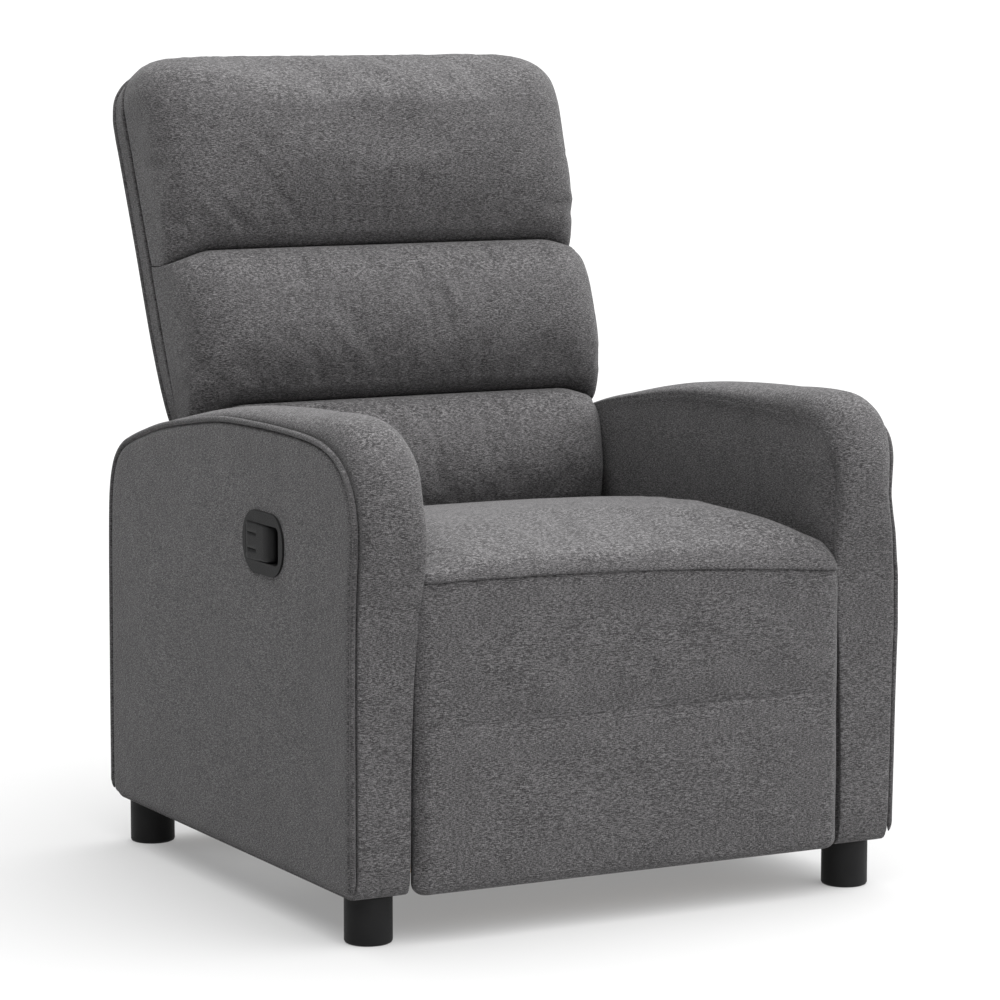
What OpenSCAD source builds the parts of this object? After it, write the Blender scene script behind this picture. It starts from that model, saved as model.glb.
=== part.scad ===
// Recliner armchair: upholstered arms on a floor base, a gliding seat carriage,
// a reclining three-channel back and a fold-out footrest on a steel linkage.
// The sitter faces -Y. Profiles are drawn in the side plane as [y, z] points.

/* [Overall] */
// Width over the two arms
chair_w = 724; // [690:1:760]
// Height of the top of the back
chair_h = 990; // [960:1:1020]
// Length of an arm from front to rear
arm_len = 700; // [680:1:720]

/* [Arms] */
// Width of an arm at its foot
arm_w = 75; // [70:1:80]
// How far the padded inner face stands in above the seat
arm_bulge = 18; // [10:1:20]
// Height of the crown above the piped edge
arm_crown = 20; // [10:1:24]
// Thickness of the foam and fabric round the arm
wrap_t = 16; // [12:1:18]
// Radius of the piping cord
piping_r = 3.4; // [2.5:0.1:4]

/* [Feet] */
// Height of a foot
foot_h = 56; // [50:1:60]
// Radius of a foot
foot_r = 28; // [22:1:30]

/* [Seat] */
// Travel of the seat carriage when the back reclines
glide = 60; // [40:5:60]
// Height of the seat crown
seat_h = 458; // [450:1:465]

/* [Back] */
// Lean of the upright back from the vertical
lean = 21.3; // [18:0.1:22]
// Half width of the back above the arms
back_half = 288; // [284:1:290]
// Half width of the back between the arms
back_low_half = 262; // [255:1:264]
// Thickness of the back at the crown of a channel
back_t = 146; // [130:1:150]

/* [Release handle] */
// Length of the oval bezel
bezel_len = 111; // [100:1:115]
// Height of the oval bezel
bezel_h = 74; // [66:1:76]

/* [Hidden] */

$fn = 48;
run = 0.05;                  // radial running clearance of pins and shafts
half = chair_w / 2;
arm_in = half - arm_w;       // inner face of an arm below the seat
arm_y = arm_len / 2;
floor_z = foot_h;            // underside of the arms
cavity_in = arm_in + 9;      // inner side of the hollow in an arm
panel_t = 12;                // padded outer panel
panel_x = half - panel_t;
panel_bulge = 4;             // the outer panel's padding swells by this much in its middle
bulge_z = 416;               // height where the padded inner face steps in

plate_t = 4;                 // every steel plate
seat_plate_x = 272;
crank_x = 264;
rod_x = 258;
rail_x = 282;
roller_r = 8;
rollers_y = [-120, 150];
roller_z = 150;

hinge = [-337, 384];         // footrest hinge axis
nose_r = 28;                 // round top edge of the footrest pad, about the hinge
crank_arm = [25, -122];      // from each upper pivot to its lower pivot, so the linkage is a parallelogram
torque = [-205, 262];        // torque tube axis
tube_r = 12.5;
crank_end = torque + crank_arm;
arm_pivot = hinge + crank_arm;
rivet_r = 5;
pad_front = hinge[0] - nose_r;
board_y = [-342, -330];
footrest_half = 283;

back_foot = [255, 330];      // lower rear corner of the back
back_pivot = [-24.3, -20.2]; // back pivot in the back's own frame
pivot_r = 6;
channel_r = 40;              // long edges of the back's channels
head_r = 60;                 // top front edge of the head channel
frame_n = 52;                // depth of the back's frame and webbing behind the channels
back_len = (chair_h - back_foot[1] - (back_t - head_r) * sin(lean) - head_r) / cos(lean) + head_r;
flare_s = 220;               // the back is narrow below this length
channels = [70, 210, 414, back_len];
rear_len = back_len - 20;    // top of the rear panel

lever_y = [-149, -83];
lever_z = 439;
lever_h = 41;
lever_axis = [-360, -88];    // x, y of the lever pin
opening_y = [-169, -79];
opening_h = 45;

// ---- curves and sweeps ----
function catmull(a, b, c, d, t) =
    0.5 * (2 * b + (c - a) * t + (2 * a - 5 * b + 4 * c - d) * t * t + (3 * b - a - 3 * c + d) * t * t * t);
function spline(k, steps) = [
    for (i = [0 : len(k) - 2], j = [0 : steps - 1])
        catmull(k[max(i - 1, 0)], k[i], k[i + 1], k[min(i + 2, len(k) - 1)], j / steps),
    k[len(k) - 1]];
function arc(c, r, a0, a1) = [for (i = [0 : 12])
    let (a = a0 + (a1 - a0) * i / 12) c + r * [cos(a), sin(a)]];
function unit(v) = v / norm(v);
function tangent(p, i) = unit(p[min(i + 1, len(p) - 1)] - p[max(i - 1, 0)]);
// Moves a side outline inwards by d, which may be a function of height
function inset(p, d) = [for (i = [0 : len(p) - 1]) let (t = tangent(p, i)) p[i] + d * [t[1], -t[0]]];
function crowned(p, d) = [for (i = [0 : len(p) - 1])
    let (t = tangent(p, i), w = min(1, max(0, (p[i][1] - 400) / 110))) p[i] - d * w * [t[1], -t[0]]];

// Tube of radius r along 3D points, closed by flat ends
module tube(points, r, sides = 8) {
    count = len(points);
    ring = [for (i = [0 : count - 1])
        let (t = tangent(points, i),
            up = abs(t[2]) > 0.9 ? [0, 1, 0] : [0, 0, 1],
            a = unit(cross(t, up)), b = cross(a, t))
        for (k = [0 : sides - 1]) points[i] + r * (a * cos(360 * k / sides) + b * sin(360 * k / sides))];
    faces = concat([[for (k = [0 : sides - 1]) k]],
        [for (i = [0 : count - 2], k = [0 : sides - 1]) let (m = (k + 1) % sides)
            [i * sides + m, i * sides + k, (i + 1) * sides + k, (i + 1) * sides + m]],
        [[for (k = [sides - 1 : -1 : 0]) (count - 1) * sides + k]]);
    polyhedron(ring, faces);
}

// A [y, z] outline given a thickness along X from x0 to x1
module across(x0, x1) translate([x0, 0, 0]) rotate([90, 0, 90]) linear_extrude(x1 - x0) children();
// A round bar along X
module bar_x(x0, x1, at, r) translate([x0, at[0], at[1]]) rotate([0, 90, 0]) cylinder(h = x1 - x0, r = r);
module slab(x0, x1, y0, y1, z0, z1) translate([x0, y0, z0]) cube([x1 - x0, y1 - y0, z1 - z0]);
module left() mirror([1, 0, 0]) children();
module both() { children(); left() children(); }
// A flat bar with round ends and a hole at each end
module strap(a, b, r, hole) difference() {
    turn = atan2(b[1] - a[1], b[0] - a[0]);
    polygon(concat(arc(a, r, turn + 270, turn + 90), arc(b, r, turn + 90, turn - 90)));
    for (p = [a, b]) translate(p) circle(hole);
}
module round_box(len_y, len_z, r) for (c = [0, 1])
    square([len_y - 2 * r * c, len_z - 2 * r * (1 - c)], center = true);
module oval(len_y, len_z, r) {
    round_box(len_y, len_z, r);
    for (i = [-1, 1], j = [-1, 1]) translate([i * (len_y / 2 - r), j * (len_z / 2 - r)]) circle(r);
}

// ---- arms ----
arm_edge = spline([[-arm_y, floor_z], [-arm_y - 1, 200], [-arm_y - 3, 385], [-arm_y - 8, 460],
    [-arm_y + 3, 520], [-arm_y + 46, 562], [-200, 576], [-96, 577], [3, 573], [84, 564], [176, 549],
    [238, 534], [280, 521], [322, 498], [342, 460], [arm_y - 1, 370], [arm_y + 1, 300],
    [arm_y + 1, floor_z]], 4);

front_y = min([for (p = crowned(arm_edge, arm_crown)) p[0]]);
// from the middle of the arms back to the middle of the whole box
frame_shift = (front_y + back_foot[0] + rear_len * sin(lean)) / 2;

module arm_outline(lift) polygon(crowned(arm_edge, lift));

module arm_frame() color("burlywood") difference() {
    union() {
        slab(cavity_in + 1, panel_x, -328, 330, floor_z + 2, floor_z + 34);
        for (y = [-328, 262]) slab(cavity_in + 1, panel_x, y, y + 30, floor_z + 34, 470);
        slab(cavity_in + 1, panel_x, -328, 292, 470, 490);
    }
    for (y = foot_ys) translate([foot_x, y, floor_z]) cylinder(h = 40, r = 4 + run);
}

module arm_wrap() color("dimgray") difference() {
    union() {
        across(arm_in, cavity_in + 8) arm_outline(arm_crown / 2);
        across(cavity_in + 8, panel_x - 14) arm_outline(arm_crown);
        across(panel_x - 14, panel_x) arm_outline(arm_crown / 2);
        across(arm_in - arm_bulge, arm_in) intersection() {
            arm_outline(0);
            translate([-400, bulge_z]) square([800, 200]);
        }
    }
    across(cavity_in, panel_x + 1) polygon(concat(inset(arm_edge, wrap_t),
        [[arm_y + 1 - wrap_t, floor_z - 1], [-arm_y + wrap_t, floor_z - 1]]));
}

module arm_outer_panel() color("dimgray") {
    across(panel_x + 0.3, half) polygon(inset(arm_edge, 2 * piping_r + 0.6));
    across(half - 0.01, half + panel_bulge) polygon(inset(arm_edge, 45));
}

module arm_piping() color("#3a3a3c") tube(
    [for (p = inset(arm_edge, piping_r + 0.2)) [panel_x + piping_r + 1.6, p[0], p[1]]], piping_r);

// ---- feet and base ----
foot_x = half - 40;
foot_ys = [-arm_y + 38, arm_y - 37];

module foot(x, y) color("#2b2b2b") translate([x, y, 0]) difference() {
    rotate_extrude() polygon([[0, 0], [foot_r - 3, 0], [foot_r - 1, 1], [foot_r, 3],
        [foot_r, foot_h], [0, foot_h]]);
    translate([0, 0, foot_h - 20]) cylinder(h = 21, r = 4 + run);
}

module foot_studs() color("silver") both() for (y = foot_ys)
    translate([foot_x, y, foot_h - 18]) cylinder(h = 48, r = 4);

module stretcher(y) color("burlywood") slab(-arm_in, arm_in, y, y + 24, floor_z + 6, floor_z + 48);

module rear_panel() color("dimgray") slab(-arm_in + 1, arm_in - 1, 322, 346, floor_z + 4, 300);

module base_rail() color("#303234") union() {
    across(rail_x, rail_x + plate_t) difference() {
        translate([-200, 122]) square([430, 58]);
        for (y = rollers_y) {
            for (p = [y, y - glide]) translate([p, roller_z]) circle(roller_r + 0.3);
            translate([y - glide, roller_z - roller_r - 0.3]) square([glide, 2 * roller_r + 0.6]);
        }
        for (y = bolt_ys) translate([y, 168]) circle(3 + run);
    }
    slab(rail_x - 11, rail_x, -200, 230, 118, 122);
    slab(rail_x, rail_x + plate_t, -200, 230, 118, 122);
}
bolt_ys = [-10, 40, 210];

module base_rail_bolts() color("silver") both() for (y = bolt_ys) {
    bar_x(rail_x - 3, rail_x - 0.05, [y, 168], 6);
    bar_x(rail_x - 0.05, rail_x + plate_t + 0.9, [y, 168], 3);
}

// ---- release handle, on the sitter's right ----
module at_handle(x) translate([x, (opening_y[0] + opening_y[1]) / 2 - 1, lever_z])
    rotate([90, 0, 90]) children();

module handle_bezel() color("#262626") difference() {
    union() {
        at_handle(-half - panel_bulge) linear_extrude(panel_bulge) oval(bezel_len, bezel_h, 34);
        at_handle(-half) linear_extrude(30) translate([1, 0])
            oval(opening_y[1] - opening_y[0] + 5, opening_h + 5, 10);
    }
    at_handle(-half - 5) linear_extrude(32.5) translate([1, 0])
        oval(opening_y[1] - opening_y[0], opening_h, 8);
    translate([lever_axis[0], lever_axis[1], lever_z - 30]) cylinder(h = 60, r = 2 + run);
}

module handle_cut() {
    at_handle(-half - panel_bulge - 1) linear_extrude(panel_bulge + 1) oval(bezel_len + 1, bezel_h + 1, 34.5);
    at_handle(-half - 1) linear_extrude(16) translate([1, 0])
        oval(opening_y[1] - opening_y[0] + 6, opening_h + 6, 10.5);
}

module release_lever() color("#2e2e2e") difference() {
    union() {
        slab(-half - 3, -half + 2, lever_y[0], lever_y[1] - 4, lever_z - lever_h / 2, lever_z + lever_h / 2);
        slab(-half + 2, -half + 8, lever_y[0], lever_y[0] + 5, lever_z - lever_h / 2, lever_z + lever_h / 2);
        translate([lever_axis[0], lever_axis[1], lever_z - lever_h / 2]) cylinder(h = lever_h, r = 4.5);
    }
    translate([lever_axis[0], lever_axis[1], lever_z - 30]) cylinder(h = 60, r = 2 + run);
}

module lever_pin() color("silver")
    translate([lever_axis[0], lever_axis[1], lever_z - opening_h / 2 - 2]) cylinder(h = opening_h + 4, r = 2);

cable_route = [[-331, -96, 430], [-324, -96, 430], [-317, -90, 415], [-315, -70, 370], [-315, -40, 310],
    [-315, -10, 255], [-314, 12, 222], [-308, 20, 204], [-298, 20, 200], [-288, 20, 200]];
module release_cable() color("#1c1c1c") tube(spline(cable_route, 3), 2.5);
module cable_anchor() color("#303234") slab(-arm_in, -277.5, 8, 32, 190, 210);

// ---- seat carriage ----
module seat_plate() color("#303234") across(seat_plate_x, seat_plate_x + plate_t) difference() {
    polygon(concat(arc(seat_pivot, 18, 110, -30), [[196, 215], [176, 134], [-146, 134], [-176, 205],
        [-232, 236], [-236, 300], [-262, 345], [-262, 372]], arc(hinge, 12, 270, 90),
        [[-240, 396], [-215, 345], [190, 345]]));
    translate(torque) circle(tube_r + run);
    translate(hinge) circle(rivet_r + run);
    translate(seat_pivot) circle(pivot_r + run);
    for (y = rollers_y) translate([y, roller_z]) circle(4 + run);
}
seat_pivot = back_foot + [back_pivot[0] * cos(lean) + back_pivot[1] * sin(lean),
    -back_pivot[0] * sin(lean) + back_pivot[1] * cos(lean)];

module glide_rollers() color("whitesmoke") both() for (y = rollers_y) {
    bar_x(seat_plate_x - 1, seat_plate_x + plate_t + 0.3, [y, roller_z], 4);
    bar_x(seat_plate_x + plate_t + 0.3, rail_x + plate_t, [y, roller_z], roller_r);
}

module footrest_hinge_pins() color("silver") both()
    bar_x(crank_x - 3, seat_plate_x + plate_t + 2, hinge, rivet_r);

module seat_rail() color("burlywood") slab(238, seat_plate_x - 0.05, -269.95, 185, 305, 345);
module seat_front_rail() color("burlywood")
    slab(-seat_plate_x + 0.05, seat_plate_x - 0.05, -294, -270, 300, 375);
module seat_rear_rail() color("burlywood") slab(-237.95, 237.95, 161, 185, 305, 345);

spring_xs = [-170, -57, 57, 170];
module seat_springs() color("silver") for (x = spring_xs)
    tube(spline([for (i = [0 : 17])
        [x + (i % 2 == 0 ? -24 : 24), -288 + i * 27.5, [378.6, 373.9, 349][min(i, 2)]]], 3), 1.9, 6);

module seat_profile() polygon(concat(
    [[190, 352], [-226, 352], [-230, 383], [-303, 383], [-305, 415], [-352, 415]],
    spline([[-352, 415], [-361, 422], [-355, 434], [-310, 450], [-220, seat_h - 1], [-140, seat_h],
        [0, 452], [100, 442], [160, 430], [184, 412], [190, 400]], 3)));
module seat_cushion() color("dimgray") {
    across(-265, 265) seat_profile();
    for (s = [-1, 1]) across(min(s * 265, s * 283), max(s * 265, s * 283)) intersection() {
        seat_profile();
        translate([-300, 400]) square([600, 14]);
    }
}

module torsion_spring() color("#8a8a8a") tube([for (i = [0 : 96])
    [150 + i * 0.52, torque[0] + 16.5 * cos(i * 22.5), torque[1] + 16.5 * sin(i * 22.5)]], 1.6, 6);

// ---- back, drawn upright with its rear face on Y = 0 and leant into place ----
module lean_back() translate([0, back_foot[0], back_foot[1]]) rotate([-lean, 0, 0]) children();

module back_post() color("burlywood") lean_back() difference() {
    slab(215, 256.95, -45, -10, -36, 640);
    bar_x(214, 258, back_pivot, pivot_r + run);
}
module back_cross_rails() color("burlywood") lean_back()
    for (z = [0, 300, 600]) slab(-214.95, 214.95, -45, -23, z, z + 40);
module back_webbing() color("#8c6f4a") lean_back()
    for (z = [90, 170, 250, 360, 440, 520]) slab(-250, 250, -47.5, -45.05, z, z + 50);
module back_bracket() color("#303234") lean_back() across(257, 257 + plate_t) difference() {
    union() {
        translate([-42, -36]) square([32, 190]);
        translate(back_pivot) circle(16);
    }
    translate(back_pivot) circle(pivot_r + run);
}
module back_pivot_pins() color("silver") lean_back() both() {
    bar_x(250, seat_plate_x + plate_t + 3, back_pivot, pivot_r);
    bar_x(257 + plate_t + 0.5, seat_plate_x - 0.5, back_pivot, 11);
}

// One padded channel between lengths s0 and s1 up the back, w to each side, with round long edges
module channel(s0, s1, w, top_r) across(-w, w) polygon(concat([[-frame_n, s0]],
    arc([channel_r - back_t, s0 + channel_r], channel_r, 270, 180),
    arc([top_r - back_t, s1 - top_r], top_r, 180, 90), [[-frame_n, s1]]));
module lumbar_cushion() color("dimgray") lean_back()
    channel(channels[0], channels[1] - 1.5, back_low_half - 2, channel_r);
module middle_cushion() color("dimgray") lean_back()
    channel(channels[1] + 10, channels[2] - 1.5, back_half, channel_r);
module head_cushion() color("dimgray") lean_back() {
    channel(channels[2] + 1.5, channels[3], back_half, head_r);
    slab(-back_half, back_half, -frame_n - 0.01, -8.5, 645, channels[3]);
}
module back_rear_panel() color("dimgray") lean_back() {
    slab(-back_low_half, back_low_half, -8, 0, -24, flare_s);
    slab(-back_half, back_half, -8, 0, flare_s, rear_len);
}
module back_side_bands() color("dimgray") lean_back() both()
    slab(back_half - 10, back_half, -frame_n + 0.5, -8.5, flare_s, 644);

// ---- footrest ----
module footrest_profile() {
    translate([pad_front, 70]) square([20, hinge[1] - 70]);
    translate(hinge) circle(nose_r);
    translate([pad_front + 14, floor_z]) square([23, 10]);
    translate([pad_front + 14, 70]) circle(14);
}
module footrest_pad(z0, z1) difference() {
    across(-footrest_half, footrest_half) intersection() {
        difference() {
            union() {
                footrest_profile();
                translate([pad_front + 14, 70]) square([9, 290]);
            }
            translate([board_y[0] - 0.05, 66]) square([100, 288]);
        }
        translate([-400, z0]) square([120, z1 - z0]);
    }
    both() slab(255, 290, pad_front + 13, -290, 340, 420);
}
module chaise_pad() color("dimgray") footrest_pad(250.5, 420);
module ottoman_pad() color("dimgray") footrest_pad(40, 249.5);
module footrest_board() color("burlywood") difference() {
    slab(-268, 268, board_y[0], board_y[1], 66.05, 352);
    for (z = board_bolts, s = [-1, 1]) translate([s * 250, 0, z]) rotate([90, 0, 0])
        cylinder(h = 400, r = 3 + run);
}
board_bolts = [130, 220, 310];

module footrest_arm() color("#303234") {
    across(crank_x, crank_x + plate_t) difference() {
        union() {
            translate([board_y[1] + 0.05, 92]) square([30, 262]);
            translate([-341, 353]) square([36, 31]);
            translate(hinge) circle(12);
        }
        translate(hinge) circle(rivet_r + run);
        translate(arm_pivot) circle(rivet_r + run);
    }
    difference() {
        slab(crank_x - 26, crank_x, board_y[1] + 0.05, board_y[1] + 4, 100, 345);
        for (z = board_bolts) translate([250, -300, z]) rotate([90, 0, 0]) cylinder(h = 100, r = 3 + run);
    }
}
module footrest_bolts() color("silver") both() for (z = board_bolts)
    translate([250, 0, z]) rotate([90, 0, 0]) {
        translate([0, 0, -board_y[1] - 7]) cylinder(h = 2.95, r = 6);
        translate([0, 0, -board_y[1] - 4.05]) cylinder(h = 15, r = 3);
    }

// ---- steel linkage ----
module torque_tube() color("#303234") difference() {
    bar_x(-seat_plate_x - 6, seat_plate_x + 6, torque, tube_r);
    bar_x(-seat_plate_x - 7, seat_plate_x + 7, torque, tube_r - 2);
}
module crank_plate() color("#3a3d40") across(crank_x, crank_x + plate_t) difference() {
    union() {
        strap(torque, crank_end, 12, 1);
        translate(torque) circle(20);
    }
    translate(torque) circle(tube_r + run);
    translate(crank_end) circle(rivet_r + run);
}
module push_rod() color("#3a3d40") across(rod_x, rod_x + plate_t)
    strap(crank_end, arm_pivot, 10, rivet_r + run);
module rod_rivets() color("silver") both() for (p = [crank_end, arm_pivot]) {
    bar_x(rod_x - 2, crank_x + plate_t + 0.5, p, rivet_r);
    bar_x(rod_x - 4, rod_x - 0.5, p, 8);
}

module place() translate([0, -frame_shift, 0]) children();
module show(name) place() children();

show("left_arm_frame") left() arm_frame();
show("right_arm_frame") arm_frame();
show("left_arm_outer_panel") difference() { left() arm_outer_panel(); handle_cut(); }
show("right_arm_outer_panel") arm_outer_panel();
show("left_arm_wrap") difference() {
    left() arm_wrap();
    bar_x(-300, -280, [20, 200], 4);
}
show("right_arm_wrap") arm_wrap();
show("left_arm_piping") left() arm_piping();
show("right_arm_piping") arm_piping();
show("front_left_foot") foot(-foot_x, foot_ys[0]);
show("front_right_foot") foot(foot_x, foot_ys[0]);
show("rear_left_foot") foot(-foot_x, foot_ys[1]);
show("rear_right_foot") foot(foot_x, foot_ys[1]);
show("foot_studs") foot_studs();
show("front_stretcher") stretcher(-262);
show("rear_stretcher") stretcher(296);
show("rear_panel") rear_panel();
show("left_base_rail") left() base_rail();
show("right_base_rail") base_rail();
show("base_rail_bolts") base_rail_bolts();
show("handle_bezel") handle_bezel();
show("lever_pin") lever_pin();
show("release_cable") release_cable();
show("cable_anchor") cable_anchor();
show("release_lever") release_lever();
show("left_seat_plate") left() seat_plate();
show("right_seat_plate") seat_plate();
show("left_seat_rail") left() seat_rail();
show("right_seat_rail") seat_rail();
show("seat_front_rail") seat_front_rail();
show("seat_rear_rail") seat_rear_rail();
show("seat_springs") seat_springs();
show("seat_cushion") seat_cushion();
show("glide_rollers") glide_rollers();
show("footrest_hinge_pins") footrest_hinge_pins();
show("torsion_spring") torsion_spring();
show("left_back_post") left() back_post();
show("right_back_post") back_post();
show("back_cross_rails") back_cross_rails();
show("back_webbing") back_webbing();
show("head_cushion") head_cushion();
show("middle_cushion") middle_cushion();
show("lumbar_cushion") lumbar_cushion();
show("back_rear_panel") back_rear_panel();
show("back_side_bands") back_side_bands();
show("left_back_bracket") left() back_bracket();
show("right_back_bracket") back_bracket();
show("back_pivot_pins") back_pivot_pins();
show("footrest_board") footrest_board();
show("chaise_pad") chaise_pad();
show("ottoman_pad") ottoman_pad();
show("left_footrest_arm") left() footrest_arm();
show("right_footrest_arm") footrest_arm();
show("footrest_bolts") footrest_bolts();
show("torque_tube") torque_tube();
show("left_crank") left() crank_plate();
show("right_crank") crank_plate();
show("left_push_rod") left() push_rod();
show("right_push_rod") push_rod();
show("rod_rivets") rod_rivets();
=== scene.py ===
import math

import bmesh
import bpy
import numpy as np
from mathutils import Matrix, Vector
from mathutils.kdtree import KDTree


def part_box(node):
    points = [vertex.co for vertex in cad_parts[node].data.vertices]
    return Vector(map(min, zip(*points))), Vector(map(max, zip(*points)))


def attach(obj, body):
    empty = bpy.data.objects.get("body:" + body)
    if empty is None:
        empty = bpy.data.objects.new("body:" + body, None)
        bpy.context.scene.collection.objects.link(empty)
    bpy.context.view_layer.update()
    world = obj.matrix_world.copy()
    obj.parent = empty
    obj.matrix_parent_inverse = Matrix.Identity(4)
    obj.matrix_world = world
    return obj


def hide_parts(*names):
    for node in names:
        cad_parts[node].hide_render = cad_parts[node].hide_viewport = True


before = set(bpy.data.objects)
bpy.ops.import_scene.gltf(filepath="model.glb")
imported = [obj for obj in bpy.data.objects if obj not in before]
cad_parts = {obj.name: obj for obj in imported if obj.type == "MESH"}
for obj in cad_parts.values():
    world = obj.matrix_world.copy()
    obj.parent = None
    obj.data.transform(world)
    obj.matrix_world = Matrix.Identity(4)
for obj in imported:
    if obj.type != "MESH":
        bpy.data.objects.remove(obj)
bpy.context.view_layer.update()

# ---- Studio -------------------------------------------------------------------------
# The chair stands on a pale seamless floor under one broad overhead softbox, with an
# even sky round it, and is seen from its right front at sitting height.
# Lengths are in metres, measured from the middle of the arms' depth.
footrest_hinge_y = -0.337                       # from the middle of the arms
hinge_low, hinge_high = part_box("footrest_hinge_pins")
middle = np.array([0.0, (hinge_low.y + hinge_high.y) / 2 - footrest_hinge_y, 0.0])

lens_mm, sensor_mm = 144.87, 36.0
camera_from, camera_to = (-2.2985, -4.3519, 1.0860), (0.01404, 0.0, 0.45284)
softbox_from, softbox_energy, softbox_spread = (1.25, -0.7, 4.0), 8.2, 110
sky_strength = 0.22
floor_reach, floor_depth = 2000, 0.02


def place(point):
    """A point given from the middle of the arms, moved into the chair's own frame."""
    return Vector(np.asarray(point, float) + middle)


def aim(thing, at):
    """Turns an object so that its -Z looks at a point."""
    thing.rotation_euler = (place(at) - thing.location).to_track_quat("-Z", "Y").to_euler()


scene = bpy.context.scene
scene.view_settings.view_transform = "Standard"
camera = bpy.data.objects.new("camera", bpy.data.cameras.new("camera"))
camera.data.lens = lens_mm
camera.data.sensor_width = sensor_mm
camera.location = place(camera_from)
aim(camera, camera_to)
scene.collection.objects.link(camera)
scene.camera = camera

world = bpy.data.worlds.new("sky")
world.use_nodes = True
sky = world.node_tree.nodes["Background"].inputs
sky["Color"].default_value = (1.0, 1.0, 1.0, 1.0)
sky["Strength"].default_value = sky_strength
scene.world = world

softbox = bpy.data.objects.new("softbox", bpy.data.lights.new("softbox", "SUN"))
softbox.data.energy = softbox_energy
softbox.data.angle = math.radians(softbox_spread)
softbox.location = place(softbox_from)
aim(softbox, (0.0, 0.0, 0.0))
scene.collection.objects.link(softbox)


def skin(name, grid):
    """A closed mesh on a grid of points: every row is a closed loop, and the first and last
    rows are closed by a fan to their mean point."""
    rows, columns = grid.shape[:2]
    points = grid.reshape(-1, 3) + middle
    number = np.arange(rows * columns).reshape(rows, columns)
    after = np.roll(number, -1, axis=1)
    faces = np.stack([number[:-1], after[:-1], after[1:], number[1:]], axis=-1).reshape(-1, 4).tolist()
    points = np.vstack([points, points[:columns].mean(0), points[-columns:].mean(0)])
    first, last = np.full(columns, rows * columns), np.full(columns, rows * columns + 1)
    faces += np.stack([after[0], number[0], first], axis=-1).tolist()
    faces += np.stack([number[-1], after[-1], last], axis=-1).tolist()
    mesh = bpy.data.meshes.new(name)
    mesh.from_pydata(points.tolist(), [], faces)
    shell = bmesh.new()
    shell.from_mesh(mesh)
    bmesh.ops.recalc_face_normals(shell, faces=shell.faces)
    shell.to_mesh(mesh)
    shell.free()
    mesh.polygons.foreach_set("use_smooth", np.ones(len(mesh.polygons), bool))
    thing = bpy.data.objects.new(name, mesh)
    scene.collection.objects.link(thing)
    return thing


class Strand:
    """A shader socket. Sums and products of it add Math nodes to its tree."""

    def __init__(self, tree, socket):
        self.tree, self.socket = tree, socket

    def node(self, kind, settings=None, inputs=None, output=0):
        """Adds a node, gives it its settings and then its sockets' values or links."""
        node = self.tree.nodes.new(kind)
        for key, value in (settings or {}).items():
            if key == "stops":
                while len(node.color_ramp.elements) < len(value):
                    node.color_ramp.elements.new(0.5)
                for stop, (position, colour) in zip(node.color_ramp.elements, value):
                    stop.position, stop.color = position, (*colour, 1.0)
            else:
                setattr(node, key, value)
        for key, value in (inputs or {}).items():
            if isinstance(value, Strand):
                self.tree.links.new(value.socket, node.inputs[key])
            else:
                node.inputs[key].default_value = value
        return Strand(self.tree, node.outputs[output]) if len(node.outputs) else None

    def math(self, operation, *values):
        return self.node("ShaderNodeMath", {"operation": operation}, dict(enumerate(values)))

    def __add__(self, other):
        return self.math("ADD", self, other)

    __radd__ = __add__

    def __sub__(self, other):
        return self.math("SUBTRACT", self, other)

    def __rsub__(self, other):
        return self.math("SUBTRACT", other, self)

    def __mul__(self, other):
        return self.math("MULTIPLY", self, other)

    __rmul__ = __mul__

    def clamp(self):
        return self.node("ShaderNodeClamp", None, {"Value": self})

    def noise(self, stretch, detail=2.0, roughness=0.5):
        """Noise from 0 to 1 whose features are 1 / stretch metres along X, Y and Z."""
        scaled = self.node("ShaderNodeMapping", None, {"Vector": self, "Scale": stretch})
        return self.node("ShaderNodeTexNoise", None,
                         {"Vector": scaled, "Scale": 1.0, "Detail": detail, "Roughness": roughness})

    def mix(self, share, colour_a, colour_b):
        return self.node("ShaderNodeMix", {"data_type": "RGBA"}, {0: share, 6: colour_a, 7: colour_b}, 2)


def start(name):
    """A new material, with its tree's object coordinates."""
    finish = bpy.data.materials.new(name)
    finish.use_nodes = True
    finish.node_tree.nodes.clear()
    tree = finish.node_tree
    return finish, Strand(tree, None).node("ShaderNodeTexCoord", output=3)


def finish_with(at, colour, roughness, height=None, distance=0.001, **fixed):
    """Joins colour, roughness and an optional bump height to a Principled surface."""
    sockets = {"Base Color": colour, "Roughness": roughness}
    if height is not None:
        sockets["Normal"] = at.node("ShaderNodeBump", None, {"Height": height, "Distance": distance})
    sockets.update({key.replace("_", " "): value for key, value in fixed.items()})
    surface = at.node("ShaderNodeBsdfPrincipled", None, sockets)
    at.node("ShaderNodeOutputMaterial", None, {"Surface": surface})


floor_finish, at = start("seamless_floor")
finish_with(at, (0.31, 0.31, 0.31, 1.0), 0.9, Emission_Color=(1.0, 1.0, 1.0, 1.0), Emission_Strength=0.28)
floor_corners = np.array([(1, 1), (-1, 1), (-1, -1), (1, -1)], float) * floor_reach
floor = skin("floor", np.array([np.column_stack([floor_corners, np.full(4, z)])
                                for z in (-floor_depth, 0.0)]))
floor.data.materials.append(floor_finish)

# ---- Arms ---------------------------------------------------------------------------
# Each arm is a timber box wrapped in foam and a grey melange polyester weave: a rolled
# strip over the front, top and rear, a padded inner panel, and an outer panel whose edge
# is piped with a cord in the same cloth.
cloth_dark = (0.0135, 0.0126, 0.0132)
cloth_mid = (0.058, 0.0556, 0.0572)
cloth_light = (0.160, 0.155, 0.158)


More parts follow.
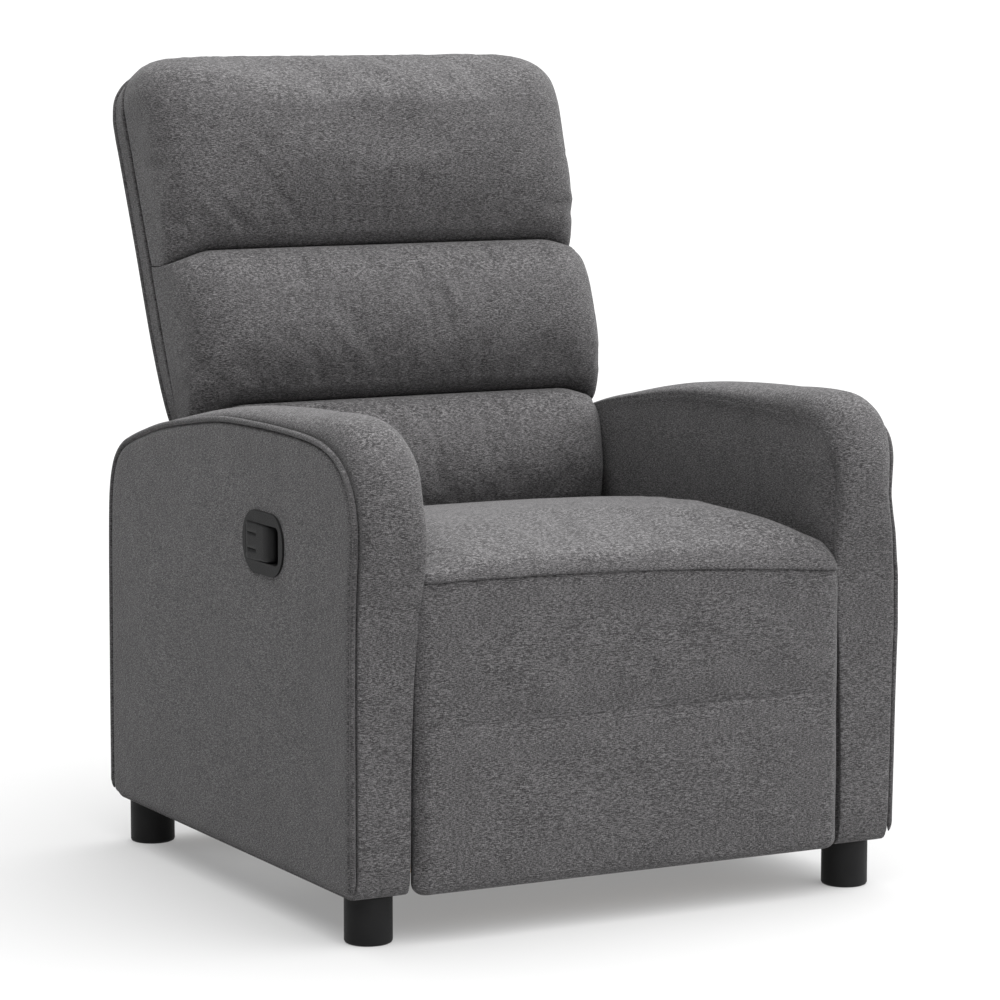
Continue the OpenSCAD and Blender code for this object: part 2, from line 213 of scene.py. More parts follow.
def melange(name, tone=1.0):
    """Plain weave of uneven grey yarn: short dashes of light and dark thread lie along the
    weft and warp of every face, with a fine fleck over them and slow changes of shade."""
    finish, at = start(name)
    facing = at.node("ShaderNodeTexCoord", output=1)
    upward = at.node("ShaderNodeSeparateXYZ", None, {"Vector": facing}, 2)
    flat = (at.math("ABSOLUTE", upward) * 3.0 - 1.2).clamp()
    weft = at.node("ShaderNodeMix", {"data_type": "FLOAT"}, {
        0: flat, 2: at.noise((240, 240, 1500), 1.5, 0.6), 3: at.noise((240, 420, 420), 2.0, 0.7)})
    warp = at.node("ShaderNodeMix", {"data_type": "FLOAT"}, {
        0: flat, 2: at.noise((1500, 1500, 420), 1.5, 0.6), 3: at.noise((1200, 240, 1200), 1.5, 0.6)})
    fleck = at.noise((900, 900, 900), 1.0, 0.5)
    slow = at.noise((25, 25, 25), 3.0, 0.6)
    yarn = weft * 0.55 + warp * 0.2 + fleck * 0.25 + slow * 0.05
    shade = (yarn * 4.2 - 1.70).clamp()
    stops = [(position, tuple(c * tone for c in thread)) for position, thread in
             ((0.05, cloth_dark), (0.5, cloth_mid), (0.95, cloth_light))]
    colour = at.node("ShaderNodeValToRGB", {"stops": stops}, {"Fac": shade})
    finish_with(at, colour, 0.93, weft * 0.6 + warp * 0.6 + fleck * 0.3, 0.0012,
                Specular_IOR_Level=0.25, Sheen_Weight=0.12, Sheen_Roughness=0.5)
    return finish


melange_cloth = melange("melange_cloth", 0.96)
piping_cloth = melange("piping_cloth", 0.85)


def along(points, count, closed=False):
    """Points evenly spaced by arc length on the Catmull-Rom curve through the given ones."""
    p = np.asarray(points, float)
    p = np.vstack([p[-1:], p, p[:2]]) if closed else np.vstack([2 * p[0] - p[1], p, 2 * p[-1] - p[-2]])
    t = np.linspace(0, 1, 24, endpoint=False)[None, :, None]
    a, b, c, d = (p[i:len(p) - 3 + i, None] for i in range(4))
    curve = 0.5 * (2 * b + (c - a) * t + (2 * a - 5 * b + 4 * c - d) * t**2 + (3 * b - a - 3 * c + d) * t**3)
    curve = np.vstack([curve.reshape(-1, p.shape[1]), p[-2]])
    length = np.r_[0, np.cumsum(np.linalg.norm(np.diff(curve, axis=0), axis=1))]
    step = np.linspace(0, length[-1], count, endpoint=not closed)
    return np.stack([np.interp(step, length, curve[:, k]) for k in range(p.shape[1])], axis=1)


def outward(loop, closed=True):
    """Unit normals of a 2-D curve, to the left of its direction."""
    if closed:
        run = np.roll(loop, -1, axis=0) - np.roll(loop, 1, axis=0)
    else:
        run = np.gradient(loop, axis=0)
    run /= np.linalg.norm(run, axis=1, keepdims=True)
    return np.stack([-run[:, 1], run[:, 0]], axis=1)


def ease(value, low, high):
    """0 below low, 1 above high, and a smooth cubic step between."""
    t = np.clip((value - low) / (high - low), 0, 1)
    return t * t * (3 - 2 * t)


def piping(name, path, radius):
    """A round cord along an open path of 3-D points: circles in the planes across it, whose
    radius falls to nothing over the last few points at each end."""
    run = np.gradient(path, axis=0)
    run /= np.linalg.norm(run, axis=1, keepdims=True)
    across = np.cross(run, [1.0, 0.0, 0.0])
    across /= np.linalg.norm(across, axis=1, keepdims=True)
    over = np.cross(across, run)
    turn = np.linspace(0, 2 * math.pi, 12, endpoint=False)
    circle = (across[:, None] * np.cos(turn)[None, :, None]
              + over[:, None] * np.sin(turn)[None, :, None])
    last = len(path) - 1
    taper = np.minimum(1, np.sqrt(np.minimum(np.arange(last + 1), last - np.arange(last + 1)) / 3 + 0.05))
    return skin(name, path[:, None] + radius * taper[:, None, None] * circle)


# y and z of the arm's edge, from the middle of its underside round the front
arm_edge = [(-0.12, 0.056), (-0.25, 0.056), (-0.317, 0.056), (-0.334, 0.0565), (-0.346, 0.061),
            (-0.350, 0.074), (-0.350, 0.092), (-0.3505, 0.17), (-0.3505, 0.286),
            (-0.353, 0.385), (-0.359, 0.45), (-0.359, 0.487), (-0.350, 0.518),
            (-0.332, 0.542), (-0.304, 0.560), (-0.262, 0.571), (-0.196, 0.5755), (-0.096, 0.576),
            (0.003, 0.573), (0.084, 0.5635), (0.176, 0.549), (0.238, 0.534), (0.280, 0.5215),
            (0.304, 0.512), (0.322, 0.4985), (0.334, 0.482), (0.342, 0.460), (0.3465, 0.430),
            (0.349, 0.37), (0.350, 0.30), (0.351, 0.178), (0.351, 0.092),
            (0.351, 0.074), (0.347, 0.061), (0.336, 0.0565), (0.319, 0.056), (0.25, 0.056), (0.12, 0.056)]
# height, and how far the right arm's piped edge stands out from the panel's plane
front_wave = np.array([(0.056, 0.002), (0.212, 0.0045), (0.32, 0.007), (0.383, 0.005), (0.432, -0.002),
                      (0.457, -0.0075), (0.481, -0.0115), (0.505, -0.009), (0.529, -0.0045), (0.56, 0.0005),
                      (0.62, 0.001)])
# depth, and how far the rolled top rises above the edge there
crown = np.array([(-0.36, 0.018), (-0.33, 0.030), (-0.30, 0.034), (-0.25, 0.027), (-0.20, 0.021),
                  (-0.10, 0.0165), (0.0, 0.0115), (0.08, 0.0095), (0.15, 0.006), (0.25, 0.006),
                  (0.36, 0.007)])
# height, and the distance of the strip's inner seam and of the inner panel from the middle
inner_seam = np.array([(0.05, 0.2885), (0.20, 0.2875), (0.30, 0.284), (0.38, 0.2775), (0.44, 0.2725),
                       (0.51, 0.2750), (0.545, 0.2815), (0.59, 0.288)])
inner_face = np.array([(0.05, 0.2885), (0.21, 0.287), (0.283, 0.2849), (0.336, 0.282), (0.392, 0.2756),
                       (0.434, 0.2693), (0.459, 0.2676), (0.487, 0.2672), (0.519, 0.2682), (0.56, 0.2725)])
panel_x, panel_swell, panel_ripple = 0.3625, 0.0014, 0.0006
panel_centre = np.array([0.0, 0.30])
piping_radius = 0.0034
edge_loop = along(arm_edge, 560, closed=True)
edge_normal = -outward(edge_loop)
edge_normal = edge_normal if edge_normal[np.argmax(edge_loop[:, 1]), 1] > 0 else -edge_normal


def table(curve, at):
    """A smooth reading of a short table: the mean of its straight lines over 16 mm."""
    return np.mean([np.interp(at + shift, curve[:, 0], curve[:, 1])
                    for shift in np.linspace(-0.008, 0.008, 9)], 0)


def edge_x(point, wave):
    """Distance of the piped edge from the middle. The right arm's waves up the front, where
    its cloth was pulled tighter than the left arm's."""
    front_share = wave * (1 - ease(point[:, 0], -0.26, -0.05))
    return panel_x + table(front_wave, point[:, 1]) * front_share


def arm_grid(loop, wave):
    """Rows from the middle of the outer panel, over the strip, to the middle of the inner
    panel. Panels are the edge scaled towards a centre; the strip is a superellipse whose
    exponent falls and whose rise grows from the flat front to the round top."""
    y, z = loop.T
    rows = []
    panel_edge = loop - edge_normal * 0.0062
    for s in np.r_[np.linspace(0.02, 0.90, 26), np.linspace(0.91, 1.0, 12)]:
        point = panel_centre + (panel_edge - panel_centre) * s
        from_edge = (1 - s) * np.linalg.norm(panel_edge - panel_centre, axis=1)
        across, up = point[:, 0] / 0.352, (point[:, 1] - 0.315) / 0.262
        swell = np.clip(1 - across**4, 0, 1) * np.clip(1 - up**4, 0, 1)
        x = edge_x(point, wave) - 0.0022 * np.exp(-from_edge / 0.003) + panel_swell * swell
        x += panel_ripple * np.sin(point[:, 0] * 21 + 1.3) * np.sin(point[:, 1] * 17) * swell
        rows.append(np.stack([x, point[:, 0], point[:, 1]], axis=1))
    for inset, depth in ((0.0050, 0.0040), (0.0032, 0.0068), (0.0008, 0.0080)):
        point = loop - edge_normal * inset
        rows.append(np.stack([edge_x(point, wave) - depth, point[:, 0], point[:, 1]], axis=1))
    roll = ease(z, 0.37, 0.53)
    rise = (0.0045 * (1 - roll) + table(crown, y) * roll) * ease(z, 0.056, 0.10) + 0.001
    power = 7.0 - 4.7 * roll
    top = ease(z, 0.50, 0.545)
    outer = edge_x(loop, wave) - 0.0078
    inner = table(inner_seam, z) * (1 - top) + table(inner_face, z) * top
    for angle in np.linspace(0.0, math.pi, 44)[1:-1]:
        c, s = math.cos(angle), math.sin(angle)
        x = (outer + inner) / 2 + (outer - inner) / 2 * np.sign(c) * abs(c)**(2 / power)
        lift = rise * s**(2 / power)
        point = loop + edge_normal * lift[:, None]
        rows.append(np.stack([x, point[:, 0], point[:, 1]], axis=1))
    for inset, depth in ((0.0008, 0.0010), (0.0026, 0.0014)):
        point = loop - edge_normal * inset
        rows.append(np.stack([inner + depth * (1 - top), point[:, 0], point[:, 1]], axis=1))
    panel_edge = loop - edge_normal * 0.0045
    for s in np.r_[np.linspace(1.0, 0.9, 14), np.linspace(0.89, 0.02, 26)]:
        point = panel_centre + (panel_edge - panel_centre) * s
        from_edge = (1 - s) * np.linalg.norm(panel_edge - panel_centre, axis=1)
        seam = np.exp(-from_edge / 0.009)
        x = table(inner_face, point[:, 1]) * (1 - seam) + (inner - 0.0005) * seam
        rows.append(np.stack([x, point[:, 0], point[:, 1]], axis=1))
    return np.array(rows)


def cut(thing, tool):
    """Takes the tool's solid out of the piece and deletes the tool."""
    away = thing.modifiers.new("cut", "BOOLEAN")
    away.object, away.solver = tool, "EXACT"
    settle(thing)
    bpy.data.objects.remove(tool)


def settle(thing):
    """Applies every modifier of a piece to its mesh."""
    graph = bpy.context.evaluated_depsgraph_get()
    result = bpy.data.meshes.new_from_object(thing.evaluated_get(graph))
    thing.modifiers.clear()
    thing.data = result


def oval(half_y, half_z, corner, count=96):
    """A rounded rectangle in Y and Z: corner arcs joined by straight sides, evenly spaced."""
    turn = np.linspace(0, 2 * math.pi, count * 4, endpoint=False)
    y = np.sign(np.cos(turn)) * (half_y - corner) + corner * np.cos(turn)
    z = np.sign(np.sin(turn)) * (half_z - corner) + corner * np.sin(turn)
    path = np.stack([np.r_[y, y[:1]], np.r_[z, z[:1]]], axis=1)
    length = np.r_[0, np.cumsum(np.linalg.norm(np.diff(path, axis=0), axis=1))]
    step = np.linspace(0, length[-1], count, endpoint=False)
    return np.stack([np.interp(step, length, path[:, k]) for k in (0, 1)], axis=1)


bezel_low, bezel_high = (np.array(c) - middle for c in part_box("handle_bezel"))
bezel_centre = (bezel_low + bezel_high) / 2
fuller_at, fuller_reach, fuller_by = (-0.335, 0.545), 0.045, 0.011     # where the right arm's roll is fuller
for side, sign, wave in (("left", -1, 0.0), ("right", 1, 1.0)):
    fuller = np.exp(-((edge_loop - fuller_at)**2).sum(1) / fuller_reach**2)
    loop = edge_loop + edge_normal * (fuller_by * wave * fuller)[:, None]
    grid = arm_grid(loop, wave) * np.array([sign, 1, 1])
    arm = skin(f"{side}_arm_cover", grid)
    if side == "left":
        well = oval(0.0525, 0.0340, 0.031)
        cut(arm, skin("pocket", np.stack([np.column_stack([np.full(len(well), x), well + bezel_centre[1:]])
                                          for x in (-0.40, -0.328)])))
    arm.data.materials.clear()
    arm.data.materials.append(melange_cloth)
    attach(arm, "base")
    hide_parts(f"{side}_arm_wrap", f"{side}_arm_outer_panel")
    front = np.argmin(np.abs(loop[:, 0] + 0.350) + np.abs(loop[:, 1] - 0.066))
    rear = np.argmin(np.abs(loop[:, 0] - 0.351) + np.abs(loop[:, 1] - 0.066))
    span = np.arange(front, rear + 1) if front < rear else np.arange(rear, front + 1)
    cord_line = (loop - edge_normal * 0.0006)[span]
    cord_x = edge_x(loop[span], wave) - piping_radius + 0.0004
    cord = piping(f"{side}_arm_edge_piping", np.column_stack([sign * cord_x, cord_line]), piping_radius)
    cord.data.materials.append(piping_cloth)
    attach(cord, "base")
    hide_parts(f"{side}_arm_piping")

# ---- Timber, steel and small fittings ---------------------------------------------------
# The frames are sawn pine and plywood, the mechanism is black powder-coated steel, its pins
# are zinc plated, the springs are bare wire and the rollers are nylon.


def clad(finish, *names):
    """Gives CAD nodes their finish."""
    for name in names:
        for material_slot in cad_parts[name].material_slots:
            material_slot.material = finish


pine, at = start("sawn_pine")
rings = at.noise((6, 60, 60), 3.0, 0.6)
pores = at.noise((90, 900, 900), 2.0, 0.6)
grain = at.math("FRACT", rings * 6.0 + pores * 0.3)
colour = at.node("ShaderNodeValToRGB", {"stops": [(0.0, (0.62, 0.44, 0.25)), (0.6, (0.50, 0.33, 0.17)),
                                                  (1.0, (0.33, 0.20, 0.09))]}, {"Fac": grain})
finish_with(at, colour, pores * 0.3 + 0.55, grain * 0.3 + pores, 0.0004)
clad(pine, "left_arm_frame", "right_arm_frame", "front_stretcher", "rear_stretcher", "left_seat_rail",
     "right_seat_rail", "seat_front_rail", "seat_rear_rail", "left_back_post", "right_back_post",
     "back_cross_rails", "footrest_board")

powder_coat, at = start("black_powder_coat")
peel = at.noise((700, 700, 700), 2.0, 0.6)
wear = at.noise((35, 35, 35), 4.0, 0.65)
finish_with(at, at.mix((wear * 4.0 - 2.3).clamp(), (0.02, 0.021, 0.023, 1), (0.05, 0.05, 0.052, 1)),
            wear * 0.25 + 0.35, peel, 0.0002)
clad(powder_coat, "left_base_rail", "right_base_rail", "cable_anchor", "left_seat_plate",
     "right_seat_plate", "left_back_bracket", "right_back_bracket", "left_footrest_arm",
     "right_footrest_arm", "torque_tube", "left_crank", "right_crank", "left_push_rod", "right_push_rod")

zinc, at = start("zinc_plate")
spangle = at.noise((160, 160, 160), 2.0, 0.5)
finish_with(at, at.mix(spangle, (0.50, 0.51, 0.50, 1), (0.66, 0.65, 0.60, 1)), spangle * 0.2 + 0.25,
            at.noise((1500, 1500, 1500)), 0.0001, Metallic=1.0)
clad(zinc, "foot_studs", "base_rail_bolts", "lever_pin", "footrest_hinge_pins", "back_pivot_pins",
     "footrest_bolts", "rod_rivets")

spring_wire, at = start("oiled_spring_wire")
oil = at.noise((60, 60, 60), 3.0, 0.6)
finish_with(at, at.mix(oil, (0.16, 0.16, 0.17, 1), (0.32, 0.31, 0.30, 1)), oil * 0.3 + 0.2, oil, 0.0001,
            Metallic=1.0)
clad(spring_wire, "seat_springs", "torsion_spring")

nylon, at = start("natural_nylon")
haze = at.noise((220, 220, 220), 2.0, 0.5)
finish_with(at, at.mix(haze, (0.68, 0.67, 0.62, 1), (0.78, 0.77, 0.73, 1)), haze * 0.2 + 0.4, haze, 0.0002)
clad(nylon, "glide_rollers")

jute, at = start("jute_webbing")
strand = at.math("SINE", at.node("ShaderNodeSeparateXYZ", None, {"Vector": at}) * 1600.0)
rough = at.noise((120, 500, 500), 3.0, 0.6)
finish_with(at, at.mix((strand * 0.3 + rough).clamp(), (0.20, 0.13, 0.07, 1), (0.42, 0.31, 0.19, 1)), 0.9,
            strand * 0.5 + rough, 0.0006)
clad(jute, "back_webbing")

sheath, at = start("cable_sheath")
scuff = at.noise((400, 400, 400), 2.0, 0.5)
finish_with(at, at.mix(scuff, (0.015, 0.015, 0.016, 1), (0.035, 0.035, 0.036, 1)), scuff * 0.2 + 0.4, scuff,
            0.0002)
clad(sheath, "release_cable")

# ---- Feet and release handle --------------------------------------------------------------
# The feet, the handle's oval cup and its flap are moulded in matt black plastic with a very
# fine spark-eroded texture. The flap lies flush in the oval plate and swings out on a pin near
# its rear edge; a finger gap is left round its front, which curls inwards.
black_plastic, at = start("black_moulded_plastic")
texture = at.noise((1400, 1400, 1400), 2.0, 0.6)
dust = at.noise((40, 40, 40), 4.0, 0.65)
finish_with(at, at.mix((dust * 3.0 - 1.2).clamp(), (0.0035, 0.0035, 0.0038, 1), (0.006, 0.006, 0.0063, 1)),
            dust * 0.15 + 0.5, texture, 0.00025, Specular_IOR_Level=0.22)
clad(black_plastic, "front_left_foot", "front_right_foot", "rear_left_foot", "rear_right_foot",
     "handle_bezel")

pin_low, pin_high = (np.array(c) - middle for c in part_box("lever_pin"))
pin_y, flap_z = (pin_low[1] + pin_high[1]) / 2, (pin_low[2] + pin_high[2]) / 2
# x and distance ahead of the pin of the flap's section, round its outer face and curled front
flap_profile = along([(-0.3664, 0.0070), (-0.3669, -0.010), (-0.3669, -0.035), (-0.3665, -0.044),
                      (-0.3646, -0.052), (-0.3606, -0.0558), (-0.3560, -0.0562), (-0.3555, -0.0546),
                      (-0.3588, -0.0528), (-0.3608, -0.049), (-0.3620, -0.042), (-0.3622, -0.010),
                      (-0.3620, 0.0065)], 160, closed=True) + [0, pin_y]
rows = []
for a in np.r_[-1.0, -0.995, -0.98, np.linspace(-0.9, 0.9, 9), 0.98, 0.995, 1.0]:
    inset = 0.0008 * ease(abs(a), 0.97, 1.0)
    centre = np.array([-0.3630, pin_y - 0.028])
    profile = centre + (flap_profile - centre) * (1 - inset / 0.004)
    reach = 0.0214 + 0.0008 * ease(profile[:, 1], pin_y - 0.030, pin_y - 0.022)
    rows.append(np.column_stack([profile, flap_z + a * reach]))
flap = skin("release_flap", np.array(rows))
for z in (-0.0095, 0.0095):
    slit = skin("slit", np.array([[[x, y, flap_z + z + t] for y, t in
                ((pin_y - 0.022, -0.0005), (pin_y + 0.002, -0.0005), (pin_y + 0.002, 0.0005),
                 (pin_y - 0.022, 0.0005))] for x in (-0.370, -0.3650)]))
    cut(flap, slit)
flap.data.materials.clear()
flap.data.materials.append(black_plastic)
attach(flap, "lever")
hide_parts("release_lever")

# ---- Rear panel of the base -----------------------------------------------------------------
# A fabric-covered board closes the base between the arms behind the seat.


def rounded_loop(half_width, rear, front, corner, count):
    """A rounded rectangle in X and depth, evenly spaced, between two depths."""
    half_depth = abs(front - rear) / 2
    loop_points = oval(half_width, half_depth, min(corner, 0.96 * half_depth), count)
    return loop_points + [0, (front + rear) / 2]


def slab_rows(half_width, rear, front, low, high, edges, corner, count=220):
    """Rounded-rectangle rows from low to high whose outline shrinks by the edge radius at
    each end, as on a padded board: inset = edge - sqrt(edge^2 - distance^2)."""
    ends = 1 - np.cos(np.linspace(0, math.pi / 2, 8))
    heights = np.r_[low + edges[0] * ends, np.linspace(low + edges[0], high - edges[1], 26)[1:-1],
                    (high - edges[1] * ends)[::-1]]
    rows = []
    for height in heights:
        edge, end = (edges[0], height - low) if height < (low + high) / 2 else (edges[1], high - height)
        inset = edge - math.sqrt(edge**2 - max(0.0, edge - end)**2)
        ring = rounded_loop(half_width - inset, rear - math.copysign(inset, rear - front),
                            front + math.copysign(inset, rear - front),
                            max(corner - inset / 2, 0.002), count)
        rows.append(np.column_stack([ring[:, 0], ring[:, 1], np.full(count, height)]))
    return np.array(rows)


low, high = (np.array(c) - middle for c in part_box("rear_panel"))
grid = slab_rows(high[0], low[1], high[1], low[2], high[2], (0.009, 0.009), 0.009)
apron = skin("rear_base_panel", grid)
apron.data.materials.append(melange_cloth)
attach(apron, "base")
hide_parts("rear_panel")

# ---- Footrest ---------------------------------------------------------------------------------
# Two foam pads on one plywood board, joined by a double-stitched seam. The upper pad rounds
# over the hinge and meets the seat along a seam that falls a little towards one end.
pad_front, pad_rear, pad_half = -0.365, -0.330, 0.283


def seam_height(x):
    """The seat's front seam, a shallow parabola that falls to the sitter's left."""
    return 0.418 - 0.099 * (x + 0.2)**2


def footrest_grid(low, high, edges, top_follows):
    """Rows up the pad. The front swells by a few millimetres between the seams, ends are
    quarter circles, and where top_follows is true the top edge keeps to the seat's seam."""
    grid = slab_rows(pad_half, pad_rear, pad_front, low, high, edges, 0.017, 400)
    x, y, z = (grid[..., k].copy() for k in range(3))
    share = (z - low) / (high - low)
    front = ease(-y, 0.345, 0.362)
    swell = 0.005 * np.sin(np.clip(share, 0, 1) * math.pi)**0.6 * (1 - np.abs(x / pad_half)**6)
    y = y - front * (swell - 0.0025)
    y += front * 0.0009 * np.sin(x * 31 + z * 12) * np.sin(z * 44 + 1)
    if top_follows:
        drop = seam_height(x) + 0.0010 - high
        z = z + drop * ease(share, 0.55, 1.0)
    return np.stack([x, y, z], axis=-1)


for name, node, low_z, high_z, edges, follows in (
        ("footrest_upper_pad", "chaise_pad", 0.2490, 0.415, (0.0015, 0.0012), True),
        ("footrest_lower_pad", "ottoman_pad", 0.056, 0.2500, (0.013, 0.0015), False)):
    pad = skin(name, footrest_grid(low_z, high_z, edges, follows))
    pad.data.materials.append(melange_cloth)
    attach(pad, "footrest")
    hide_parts(node)

# ---- Seat ------------------------------------------------------------------------------------
# A thick foam cushion with a soft rounded nose, wider under the arms' padding than between it.
seat_profile = [(0.186, 0.354), (0.05, 0.353), (-0.10, 0.353), (-0.24, 0.353), (-0.262, 0.356),
                (-0.272, 0.378), (-0.298, 0.382), (-0.309, 0.410), (-0.325, 0.4162), (-0.350, 0.4165),
                (-0.3652, 0.4165), (-0.3662, 0.4190), (-0.3645, 0.4245), (-0.359, 0.4325),
                (-0.348, 0.4410), (-0.330, 0.4485), (-0.27, 0.4590), (-0.20, 0.4610), (-0.12, 0.4575),
                (-0.03, 0.4485), (0.06, 0.437), (0.13, 0.427), (0.172, 0.416), (0.190, 0.400)]


def plump(thing, held, reach, pressure):
    """Lets a cushion's cloth fill out: a 6.5 mm voxel copy of it is inflated by Cloth for 20
    frames without weight while the held points stay, no point may end further than reach
    from where it began, and the cushion's own finer points follow their nearest place on it."""
    shell = thing.copy()
    shell.data = thing.data.copy()
    scene.collection.objects.link(shell)
    voxels = shell.modifiers.new("voxels", "REMESH")
    voxels.mode, voxels.voxel_size = "VOXEL", 0.0065
    settle(shell)
    before = points_of(shell.data)
    pins = shell.vertex_groups.new(name="held")
    pins.add(np.flatnonzero(held(before - middle)).tolist(), 1.0, "REPLACE")
    cloth = shell.modifiers.new("cloth", "CLOTH")
    cloth.settings.quality = 5
    cloth.settings.mass = 0.3
    cloth.settings.vertex_group_mass = "held"
    cloth.settings.use_pressure = True
    cloth.settings.uniform_pressure_force = pressure
    cloth.settings.shrink_min = -0.012
    cloth.settings.effector_weights.gravity = 0.0
    cloth.collision_settings.use_collision = False
    for number in range(1, 21):
        scene.frame_set(number)
    settle(shell)
    scene.frame_set(1)
    moved = points_of(shell.data) - before
    length = np.linalg.norm(moved, axis=1, keepdims=True)
    moved *= np.minimum(1, reach / np.maximum(length, 1e-9))
    points = points_of(thing.data)
    tree = KDTree(len(before))
    for index, point in enumerate(before):
        tree.insert(point, index)
    tree.balance()
    near = [tree.find_n(point, 6) for point in points]
    which = np.array([[hit[1] for hit in hits] for hits in near])
    weight = 1 / (np.array([[hit[2] for hit in hits] for hits in near]) + 0.0015)**2
    share = (weight / weight.sum(1, keepdims=True))[..., None]
    points += (moved[which] * share).sum(1)
    thing.data.vertices.foreach_set("co", points.ravel())
    thing.data.update()
    bpy.data.objects.remove(shell)


def points_of(mesh):
    """The mesh's points as an array."""
    flat = np.empty(len(mesh.vertices) * 3)
    mesh.vertices.foreach_get("co", flat)
    return flat.reshape(-1, 3)


def seat_grid():
    """The side profile carried across the seat. Between the arms it is narrower by the
    padding; towards each side the crown sinks and the last loops close in a quarter round."""
    profile = along(seat_profile, 520, closed=True)
    rows = []
    for a in np.sin(np.linspace(-math.pi / 2, math.pi / 2, 151)):
        y, z = profile.T
        upper = ease(z, 0.400, 0.440)
        edge = abs(a)
        last = (max(0.0, edge - 0.93) / 0.07)**2
        round_in = 1 - math.sqrt(max(0.0, 1 - last))
        nose_share = ease(-y, 0.24, 0.345)
        sink = (0.010 * edge**3 + 0.034 * max(0.0, edge - 0.72)**1.8 / 0.28**1.8) * upper
        sink = sink * (1 - 0.35 * nose_share)
        nose = 0.014 * round_in * nose_share
        x = a * (0.2825 - 0.0145 * upper * (1 - nose_share))
        seam_share = ease(-y, 0.300, 0.345) * (1 - ease(z, 0.421, 0.458))
        z_new = z - sink * (1 - seam_share) + seam_share * (seam_height(x) - seam_height(-0.2))
        core = np.array([-0.05, 0.405])
        squeeze = 1 - 0.10 * round_in * (1 - nose_share)
        rows.append(np.column_stack([x, core[0] + (y + nose - core[0]) * (1 - 0.02 * round_in),
                                     core[1] + (z_new - core[1]) * squeeze]))
    return np.array(rows)


seat = skin("seat_cushion_cover", seat_grid())
plump(seat, lambda p: (p[:, 2] < 0.4195) | (p[:, 1] < -0.352) | (p[:, 1] > 0.16), 0.006, 2.5)
seat.data.materials.append(melange_cloth)
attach(seat, "seat")
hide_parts("seat_cushion")

# ---- Back ------------------------------------------------------------------------------------
# Three plump channels over a webbed frame: head, middle and lumbar. Their cloth is pulled in
# along the folds between them and puckers at the ends, where it is sewn to a narrow gusset
# with a piped seam. Lengths run up the back and depths run forward from its rear face.
lean = math.radians(21.3)
back_foot = np.array([0.255, 0.330])
channel_rear, gusset_front = 0.050, 0.030


def lean_back(grid):
    """Turns (x, depth forward, length up) into the frame: back by the lean, at the foot."""
    x, n, s = (grid[..., k] for k in range(3))
    return np.stack([x, back_foot[0] + s * math.sin(lean) - n * math.cos(lean),
                     back_foot[1] + s * math.cos(lean) + n * math.sin(lean)], axis=-1)


def channel_grid(bottom, top, half_low, half_high, depth, valley, dome=0.0):
    """Rounded-rectangle loops stacked up one channel. The front swells by
    (1 - |2t - 1|^2.6)^0.55 of the fold's depth; folds sink and dip towards the ends; a dome
    shrinks the last loops so that the top closes in a round edge."""
    rows, columns = [], 420
    for t in 0.5 - 0.5 * np.cos(np.linspace(0, math.pi, 64)):
        s = bottom + (top - bottom) * t
        puff = (1 - abs(2 * t - 1)**2.6)**0.55 if not dome or t < 0.5 else 1.0
        half = half_low + (half_high - half_low) * t
        front, rear = valley + (depth - valley) * puff, channel_rear
        if dome and t > 0.5:
            over = max(0.0, (s - (top - dome)) / dome)
            corner_in = dome - dome * math.sqrt(max(0.0, 1 - over**2))
            half -= corner_in * 0.9
            rear = channel_rear - (channel_rear - gusset_front) * ease(s, 0.640, 0.650)
            past = max(0.0, (s - (top - 0.115)) / 0.115)
            front = depth - 0.10 * (1 - math.sqrt(max(0.0, 1 - past**2.4)))
        ring = rounded_loop(half, rear, front, min(0.020, (front - rear) * 0.45), columns)
        x, n = ring.T
        share = np.clip(np.abs(x) / half, 0, 1)
        forward = ease(n, rear + 0.004, front - 0.004)
        turn = np.clip((np.abs(x) - half + 0.062) / 0.062, 0, 1)
        drop = (0.012 + 0.024 * puff) * (1 - np.sqrt(1 - turn**2)) + (0.002 + 0.004 * puff) * share**3
        drop += 0.0022 * puff * np.sin(x * 23 + bottom * 40) * np.sin(s * 31 + 2 * bottom) * (1 - share**4)
        n = rear + (n - rear) * (1 - drop / (front - rear))
        n = n - (1 - forward) * (rear - gusset_front) * ease(np.abs(x), 0.260, 0.270)
        dip = -0.014 * ease(share, 0.80, 1.0) * (1 - puff if not (dome and t > 0.5) else 0.0)
        rows.append(np.column_stack([x, n, np.full(columns, s) + dip * forward]))
    return lean_back(np.array(rows))


def sewn(points, size):
    """True near the back of a channel and in the folds at its ends, where its cloth is sewn."""
    y, z = points[:, 1] - back_foot[0], points[:, 2] - back_foot[1]
    depth, length = z * math.sin(lean) - y * math.cos(lean), y * math.sin(lean) + z * math.cos(lean)
    ends = (length < size[0] + 0.016) | ((length > size[1] - 0.016) & (len(size) == 6))
    return (depth < 0.070) | (ends & (depth < 0.122))


for name, node, size in (
        ("lumbar_channel", "lumbar_cushion", (0.047, 0.2095, 0.262, 0.280, 0.148, 0.094)),
        ("middle_channel", "middle_cushion", (0.211, 0.4130, 0.291, 0.294, 0.155, 0.095)),
        ("head_channel", "head_cushion", (0.4145, 0.6850, 0.293, 0.2965, 0.154, 0.095, 0.066))):
    channel = skin(name, channel_grid(*size))
    plump(channel, lambda p: sewn(p, size), 0.010, 3.0)
    channel.data.materials.append(melange_cloth)
    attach(channel, "back")
    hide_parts(node)

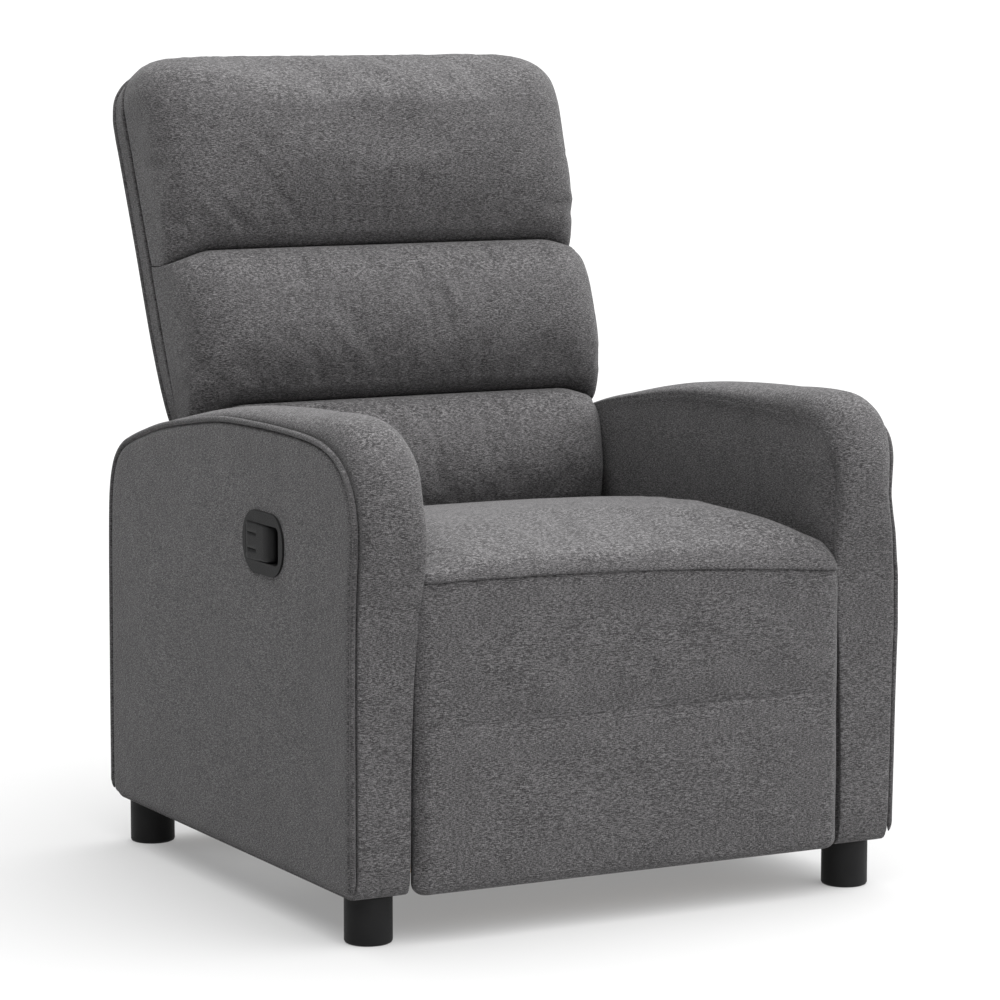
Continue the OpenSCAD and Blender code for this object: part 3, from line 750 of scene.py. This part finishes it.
# side path of the gusset: x and length up the back, from the arms over the top
gusset_half = [(0.266, 0.03), (0.268, 0.12), (0.275, 0.18), (0.285, 0.235), (0.290, 0.32),
               (0.2915, 0.45), (0.2935, 0.56), (0.2945, 0.60), (0.2935, 0.625), (0.286, 0.652),
               (0.265, 0.6745), (0.236, 0.6815), (0.10, 0.6825)]
gusset_path = along([(-x, length) for x, length in gusset_half] + gusset_half[::-1], 620)
gusset_normal = outward(gusset_path, closed=False)
gusset_normal = gusset_normal if gusset_normal[0, 0] < 0 else -gusset_normal
gusset_ring = oval(0.0045, 0.0165, 0.0042, 40) + [-0.005, 0.0180]
grid = np.stack([np.column_stack([centre[0] + side[0] * gusset_ring[:, 0], gusset_ring[:, 1],
                                  centre[1] + side[1] * gusset_ring[:, 0]])
                 for centre, side in zip(gusset_path, gusset_normal)])
gusset = skin("back_side_gusset", lean_back(grid))
gusset.data.materials.append(melange_cloth)
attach(gusset, "back")
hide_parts("back_side_bands")

for name, depth, out in (("back_rear_piping", 0.0025, 0.0), ("back_side_piping", 0.0310, -0.0005)):
    line = gusset_path + gusset_normal * out
    path = lean_back(np.column_stack([line[:, 0], np.full(len(line), depth), line[:, 1]]))
    cord = piping(name, path, 0.0026)
    cord.data.materials.append(piping_cloth)
    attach(cord, "back")


def rear_cover_grid():
    """The rear cover: loops between the gusset's two sides from foot to top, a flat padded
    board that swells by 3 mm in its middle."""
    rows = []
    half_at = gusset_path[:len(gusset_path) // 2]
    for s in np.r_[-0.022, np.linspace(-0.018, 0.61, 40), np.linspace(0.62, 0.681, 24)]:
        half = float(np.interp(s, half_at[:, 1], -half_at[:, 0])) - 0.006
        half = min(half, 0.258) if s < 0.03 else half
        ring = rounded_loop(half, 0.0, 0.008, 0.0035, 240)
        x, n = ring.T
        n = n - 0.002 * (1 - (x / half)**2) * (n < 0.004)
        rows.append(np.column_stack([x, n, np.full(len(x), s)]))
    return lean_back(np.array(rows))


rear_cover = skin("back_rear_cover", rear_cover_grid())
rear_cover.data.materials.append(melange_cloth)
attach(rear_cover, "back")
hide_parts("back_rear_panel")
